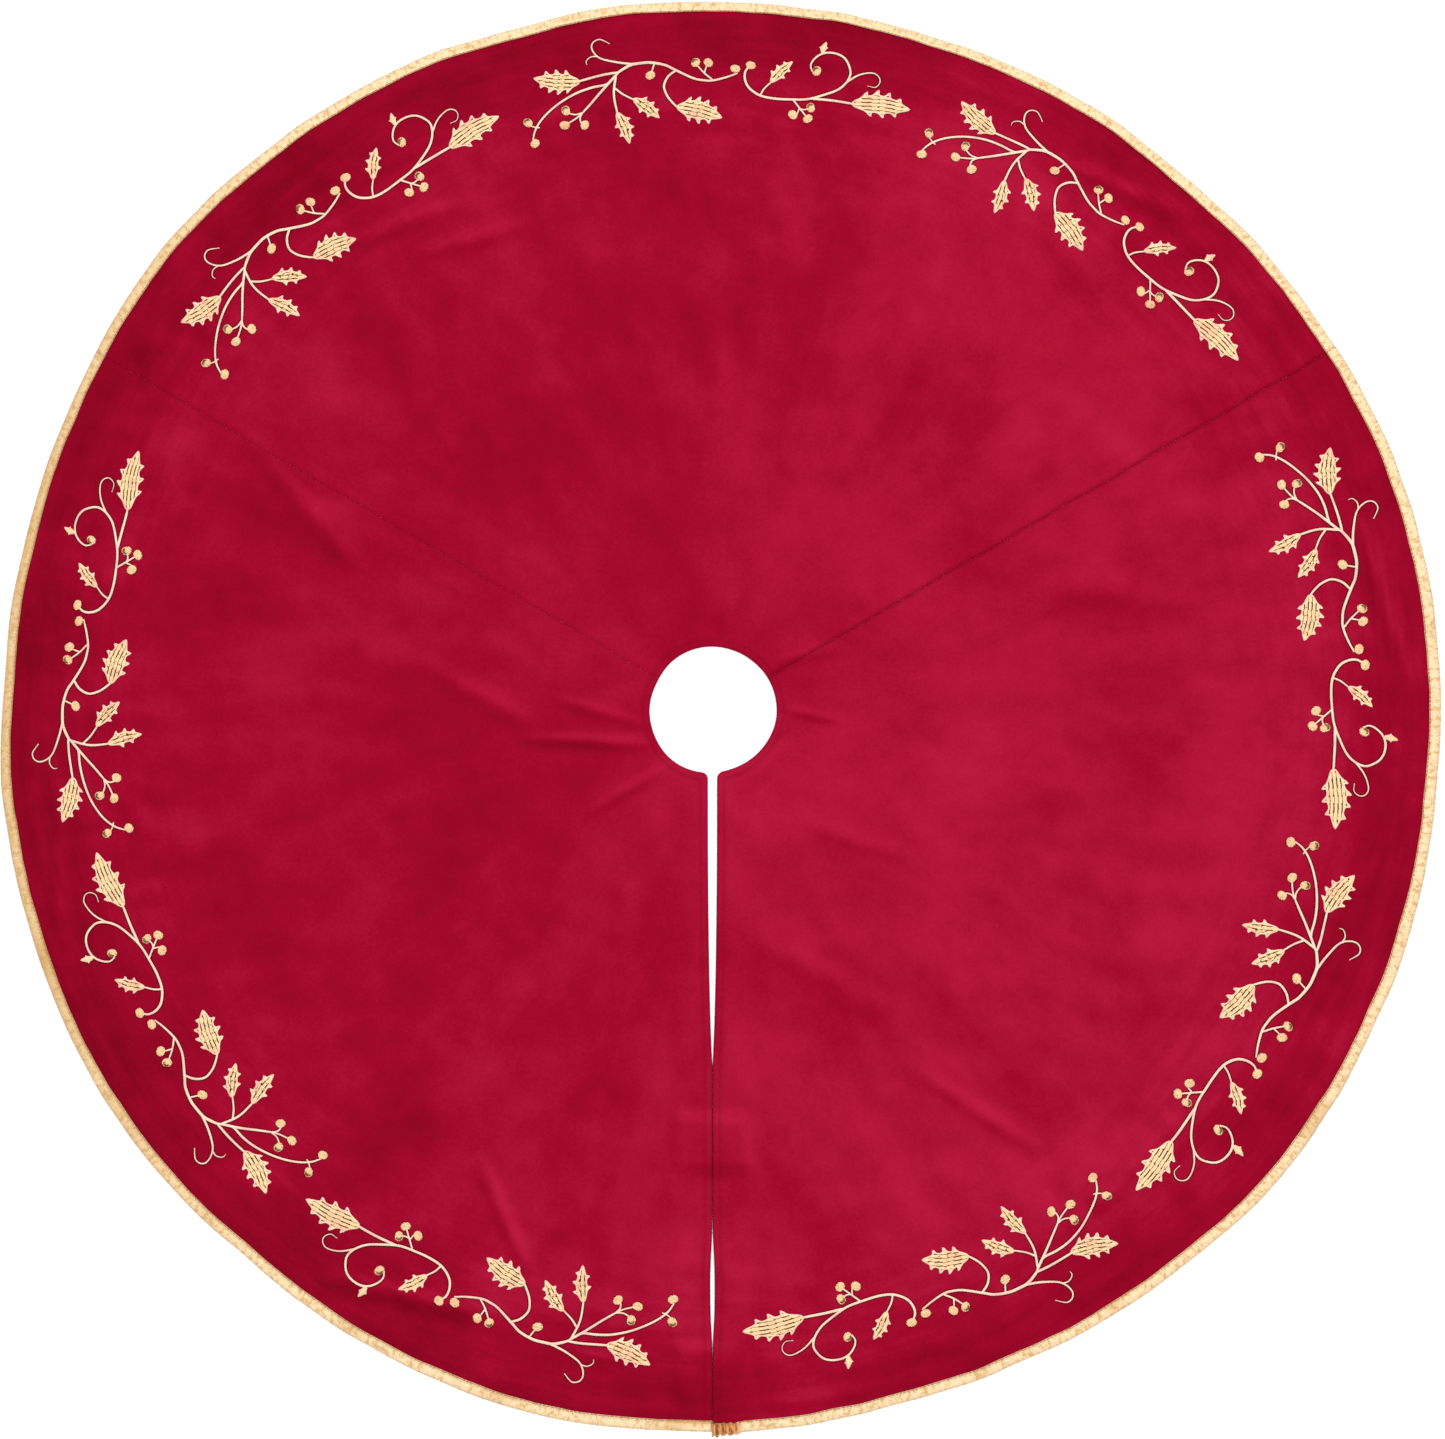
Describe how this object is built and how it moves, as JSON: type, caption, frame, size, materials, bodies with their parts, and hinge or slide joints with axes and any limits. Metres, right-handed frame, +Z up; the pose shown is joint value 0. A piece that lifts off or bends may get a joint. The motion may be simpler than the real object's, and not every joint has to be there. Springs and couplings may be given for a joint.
{
  "type": "tree skirt",
  "caption": "Round lined velvet tree skirt with a trunk hole, an open slit, a gold folded hem binding, embroidered holly sprigs and hook-and-loop slit closures.",
  "frame": {"origin": "on the floor, under the centre of the trunk hole and of the skirt", "axes": "+Z up, out of the embroidered face; the slit runs from the hole along -Y; +X to the right with the slit nearest the viewer"},
  "size_m": [1.2188, 1.2192, 0.0044],
  "materials": {
    "red_velvet": "deep crimson short-pile velvet with a soft sheen",
    "red_lining": "plain-woven polyester lining, matching red, slightly glossy",
    "gold_binding": "pale gold woven lame strip, folded over the hem and stitched",
    "gold_thread": "pale gold satin-stitched rayon thread",
    "closure_webbing": "thin matching woven tape",
    "hook_tape": "nylon hook tape",
    "loop_patch": "brushed nylon loop tape"
  },
  "bodies": {
    "back_gore": {"velvet_gore_back": "red_velvet", "lining_gore_back": "red_lining", "hem_binding_back": "gold_binding", "sprig_branch_back_1": "gold_thread", "sprig_branch_back_2": "gold_thread", "sprig_branch_back_3": "gold_thread", "sprig_scroll_back_1": "gold_thread", "sprig_scroll_back_2": "gold_thread", "sprig_scroll_back_3": "gold_thread"},
    "left_gore": {"velvet_gore_left": "red_velvet", "lining_gore_left": "red_lining", "hem_binding_left": "gold_binding", "sprig_branch_left_1": "gold_thread", "sprig_branch_left_2": "gold_thread", "sprig_branch_left_3": "gold_thread", "sprig_scroll_left_1": "gold_thread", "sprig_scroll_left_2": "gold_thread", "sprig_scroll_left_3": "gold_thread"},
    "right_gore": {"velvet_gore_right": "red_velvet", "lining_gore_right": "red_lining", "hem_binding_right": "gold_binding", "sprig_branch_right_1": "gold_thread", "sprig_branch_right_2": "gold_thread", "sprig_branch_right_3": "gold_thread", "sprig_scroll_right_1": "gold_thread", "sprig_scroll_right_2": "gold_thread", "sprig_scroll_right_3": "gold_thread", "loop_patch_inner": "loop_patch", "loop_patch_outer": "loop_patch"},
    "inner_tab": {"closure_tab_inner": "closure_webbing", "hook_tape_inner": "hook_tape"},
    "outer_tab": {"closure_tab_outer": "closure_webbing", "hook_tape_outer": "hook_tape"}
  },
  "joints": [
    {"name": "left_gore_fold", "type": "hinge", "parent": "back_gore", "child": "left_gore", "pos_m": [0, 0, 0.0047], "axis": [-0.866, 0.5, 0], "range_deg": [0, 180]},
    {"name": "right_gore_fold", "type": "hinge", "parent": "back_gore", "child": "right_gore", "pos_m": [0, 0, 0.0072], "axis": [-0.866, -0.5, 0], "range_deg": [0, 180]},
    {"name": "inner_tab_turn", "type": "hinge", "parent": "left_gore", "child": "inner_tab", "pos_m": [-0.0003, -0.367, 0.00065], "axis": [0, -1, 0], "range_deg": [0, 180]},
    {"name": "outer_tab_turn", "type": "hinge", "parent": "left_gore", "child": "outer_tab", "pos_m": [-0.0003, -0.56, 0.00065], "axis": [0, -1, 0], "range_deg": [0, 180]}
  ]
}
